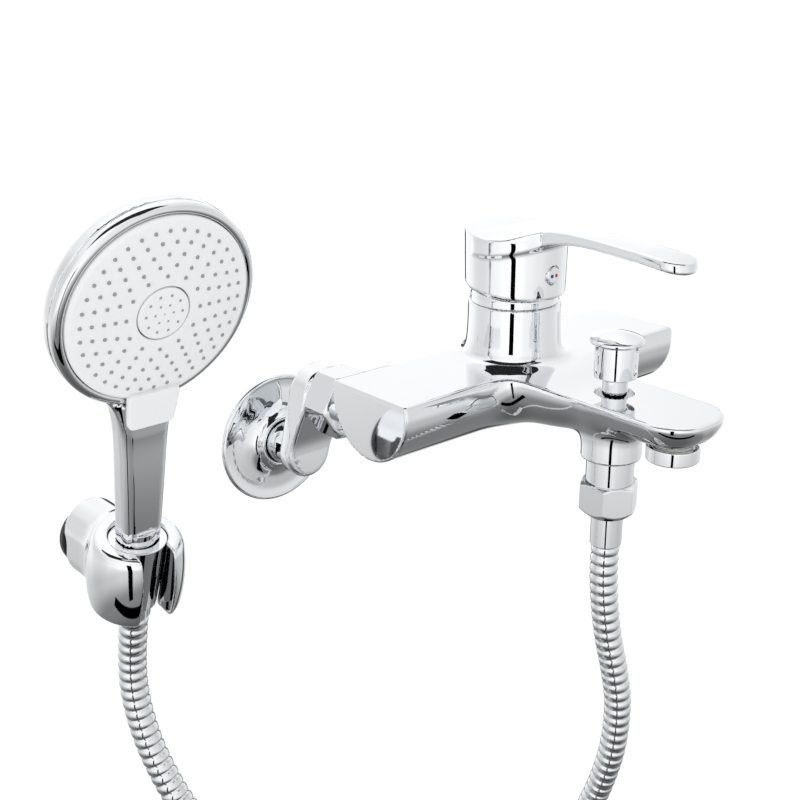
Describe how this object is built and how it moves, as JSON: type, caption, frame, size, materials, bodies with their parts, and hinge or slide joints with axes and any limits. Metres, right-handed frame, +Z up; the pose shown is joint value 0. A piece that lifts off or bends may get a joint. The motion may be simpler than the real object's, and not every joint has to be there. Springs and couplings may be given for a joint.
{
  "type": "wall-mounted bath faucet",
  "caption": "Wall-mounted single-lever bath mixer with a spout, pull-up diverter, metal shower hose, round hand shower and wall holder.",
  "frame": {"origin": "on the finished wall face, midway between the two wall inlets", "axes": "+X to the right along the wall as seen from the room, +Y into the wall, +Z up"},
  "size_m": [0.3315, 0.2196, 0.4927],
  "materials": {
    "chrome_body": "brass, nickel and chrome plated, mirror polished",
    "chrome_plastic": "ABS, chrome plated",
    "hose_steel": "double-lock stainless steel strip, bright chrome plated",
    "stainless": "stainless steel",
    "brass_plain": "turned brass",
    "disc_ceramic": "ground alumina",
    "black_rubber": "moulded EPDM",
    "red_fibre": "fibre sealing washer",
    "white_plastic": "white ABS, satin gloss",
    "nozzle_silicone": "grey silicone",
    "cartridge_plastic": "moulded engineering plastic",
    "dark_plastic": "moulded engineering plastic",
    "valve_plastic": "moulded engineering plastic",
    "index_plastic": "plated cap with a blue and a red dot",
    "tie_plastic": "soft PVC tie"
  },
  "bodies": {
    "mixer": {"wall_flange_left": "chrome_body", "wall_flange_right": "chrome_body", "flange_seals": "black_rubber", "eccentric_left": "chrome_body", "eccentric_right": "chrome_body", "inlet_strainers": "stainless", "inlet_washers": "red_fibre", "coupling_nut_left": "chrome_body", "coupling_nut_right": "chrome_body", "body_casting": "chrome_body", "cartridge_housing": "cartridge_plastic", "cartridge_seals": "black_rubber", "fixed_disc": "disc_ceramic", "cartridge_nut": "brass_plain", "collar_ring": "chrome_body", "diverter_bush": "chrome_body", "bush_seal": "black_rubber", "diverter_spring": "stainless", "aerator_housing": "chrome_body", "aerator_insert": "cartridge_plastic", "aerator_washer": "black_rubber", "outlet_nipple": "chrome_body", "check_valve": "valve_plastic", "hose_washer_mixer": "black_rubber", "hose_nut": "chrome_body", "hose_ferrule": "chrome_body", "hose_run_mixer": "hose_steel", "hose_coil": "hose_steel", "hose_tie": "tie_plastic", "hose_run_handset": "hose_steel", "holder_body": "chrome_plastic", "holder_plate": "dark_plastic", "holder_lock_screw": "stainless"},
    "rotor": {"cartridge_rotor": "dark_plastic", "spindle_pin": "stainless"},
    "lever": {"spindle": "brass_plain", "lever_handle": "chrome_body", "grub_screw": "stainless", "index_plug": "index_plastic"},
    "disc": {"moving_disc": "disc_ceramic", "disc_carrier": "dark_plastic"},
    "diverter": {"diverter_knob": "chrome_body", "diverter_stem": "brass_plain", "diverter_disc": "black_rubber", "stem_seal": "black_rubber"},
    "handset": {"handset_shell": "chrome_plastic", "water_tube": "cartridge_plastic", "spray_distributor": "dark_plastic", "distributor_seal": "black_rubber", "rim_ring": "chrome_plastic", "face_screw": "stainless", "cone_nut": "chrome_plastic", "hose_end_handset": "chrome_body", "hose_washer_handset": "black_rubber", "flow_limiter": "valve_plastic"},
    "face": {"spray_face": "white_plastic", "nozzle_mat": "nozzle_silicone", "centre_disc": "white_plastic"}
  },
  "joints": [
    {"name": "lever_swivel", "type": "hinge", "parent": "mixer", "child": "rotor", "pos_m": [0, -0.091, 0.071], "axis": [0, 0, 1], "range_deg": [-35, 35]},
    {"name": "lever_tilt", "type": "hinge", "parent": "rotor", "child": "lever", "pos_m": [0, -0.091, 0.072], "axis": [-1, 0, 0], "range_deg": [0, 18]},
    {"name": "disc_shift", "type": "slide", "parent": "rotor", "child": "disc", "axis": [0, -1, 0], "range_m": [0, 0.005]},
    {"name": "diverter_lift", "type": "slide", "parent": "mixer", "child": "diverter", "axis": [0, 0, 1], "range_m": [0, 0.008], "deforming": ["diverter_spring"]},
    {"name": "handset_lift", "type": "slide", "parent": "mixer", "child": "handset", "axis": [0, -0.2079, 0.9781], "range_m": [0, 0.06]},
    {"name": "face_turn", "type": "hinge", "parent": "handset", "child": "face", "pos_m": [-0.18, -0.07665, 0.10252], "axis": [0, -0.9563, -0.2924], "range_deg": [-25, 25]}
  ],
  "couplings": [
    {"joint": "disc_shift", "follows": "lever_tilt", "m_per_rad": 0.014}
  ]
}
